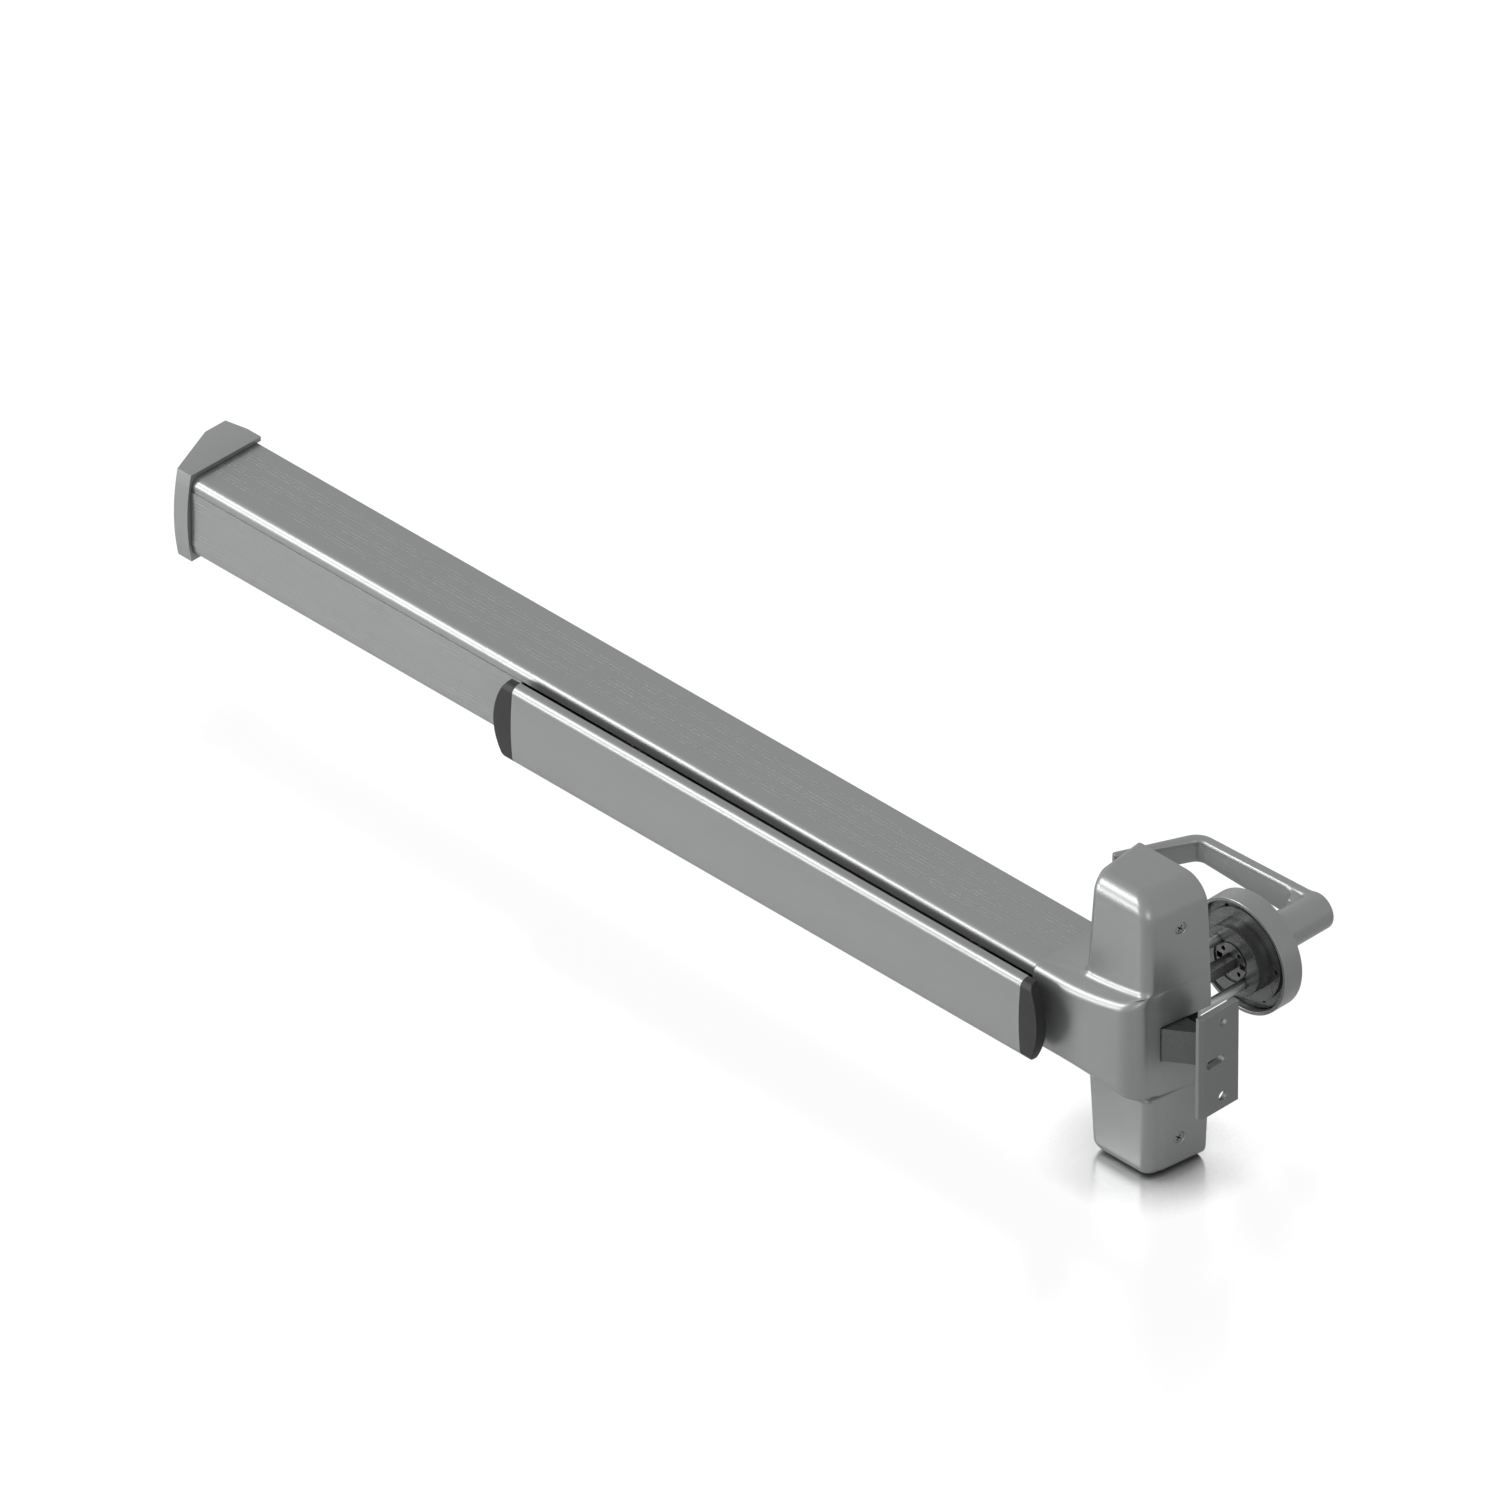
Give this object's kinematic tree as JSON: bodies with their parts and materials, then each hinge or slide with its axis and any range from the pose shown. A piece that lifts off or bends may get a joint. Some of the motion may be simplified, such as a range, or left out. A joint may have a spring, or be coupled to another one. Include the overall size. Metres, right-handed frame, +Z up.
{
  "type": "rim exit device",
  "caption": "Surface-mounted push-bar exit device: extruded case, sprung push pad, cast head with bevelled latch, outside lever trim and strike plate.",
  "frame": {"origin": "Centre of the head's four door-mounting holes, on the door's inside face and at the bar's mid height", "axes": "+X along the bar towards the latch, +Y through the door to the outside, +Z up"},
  "size_m": [0.9086, 0.214, 0.2107],
  "materials": {
    "satin_case": "brushed along the bar, satin",
    "satin_pad": "fine brushed, satin",
    "cast_satin": "smooth satin aluminium-coloured lacquer",
    "steel_plate": "bare plate",
    "zinc_plate": "zinc plated, satin",
    "yellow_steel": "yellow passivated",
    "steel_pins": "turned",
    "spring_wire": "drawn wire",
    "screws": "plated",
    "dark_plastic": "fine grained",
    "dark_steel": "dark plated",
    "strike_steel": "satin grey lacquer"
  },
  "bodies": {
    "base": {"case_channel": "satin_case", "cover_plate": "satin_case", "end_cap": "cast_satin", "end_bracket": "steel_plate", "end_cap_screws": "screws", "base_rail": "zinc_plate", "pivot_bracket_left": "zinc_plate", "pivot_bracket_right": "zinc_plate", "pivot_pins": "steel_pins", "spring_anchor": "zinc_plate", "head_cover": "cast_satin", "cover_screws": "screws", "head_chassis": "zinc_plate", "latch_guide": "zinc_plate", "spring_guide_rod": "steel_pins", "latch_spring": "spring_wire", "pad_return_spring": "spring_wire", "lever_return_spring": "spring_wire", "trim_rose": "satin_pad", "spring_cage": "dark_steel", "trim_plate": "dark_steel", "trim_posts": "steel_pins", "trim_screws": "screws", "strike_plate": "strike_steel"},
    "pad": {"push_pad": "satin_pad", "pad_cap_left": "dark_plastic", "pad_cap_right": "dark_plastic", "pad_bracket_left": "zinc_plate", "pad_bracket_right": "zinc_plate", "pad_pins": "steel_pins"},
    "crank_far": {"bell_crank_left": "yellow_steel"},
    "crank_near": {"bell_crank_right": "yellow_steel"},
    "link": {"link_bar": "zinc_plate", "link_pins": "steel_pins"},
    "latch": {"latch_bolt": "dark_steel", "latch_drive_pin": "steel_pins"},
    "lever": {"lever_handle": "cast_satin", "spindle": "dark_steel", "spindle_hub": "dark_steel", "retractor_cam": "yellow_steel"}
  },
  "joints": [
    {"name": "pad_press", "type": "slide", "parent": "base", "child": "pad", "axis": [0, 1, 0], "range_m": [0, 0.0076], "stiffness_N_per_m": 800, "springref_m": -0.02},
    {"name": "crank_far_turn", "type": "hinge", "parent": "base", "child": "crank_far", "pos_m": [-0.43, -0.0415, 0], "axis": [0, 0, 1], "range_deg": [0, 42.05]},
    {"name": "crank_near_turn", "type": "hinge", "parent": "base", "child": "crank_near", "pos_m": [-0.13, -0.0415, 0], "axis": [0, 0, 1], "range_deg": [0, 42.05]},
    {"name": "link_slide", "type": "slide", "parent": "base", "child": "link", "axis": [-1, 0, 0], "range_m": [0, 0.01865], "deforming": ["pad_return_spring"]},
    {"name": "latch_slide", "type": "slide", "parent": "base", "child": "latch", "axis": [-1, 0, 0], "range_m": [0, 0.01865], "deforming": ["latch_spring"]},
    {"name": "lever_turn", "type": "hinge", "parent": "base", "child": "lever", "pos_m": [0, 0.075, 0.0043], "axis": [0, 1, 0], "range_deg": [-50, 0], "stiffness_Nm_per_rad": 0.9, "springref_deg": 34.38}
  ],
  "couplings": [
    {"joint": "crank_far_turn", "follows": "pad_press", "rad_per_m": 96.485},
    {"joint": "crank_near_turn", "follows": "pad_press", "rad_per_m": 96.485},
    {"joint": "link_slide", "follows": "pad_press", "ratio": 2.4528},
    {"joint": "latch_slide", "follows": "pad_press", "ratio": 2.4528}
  ]
}
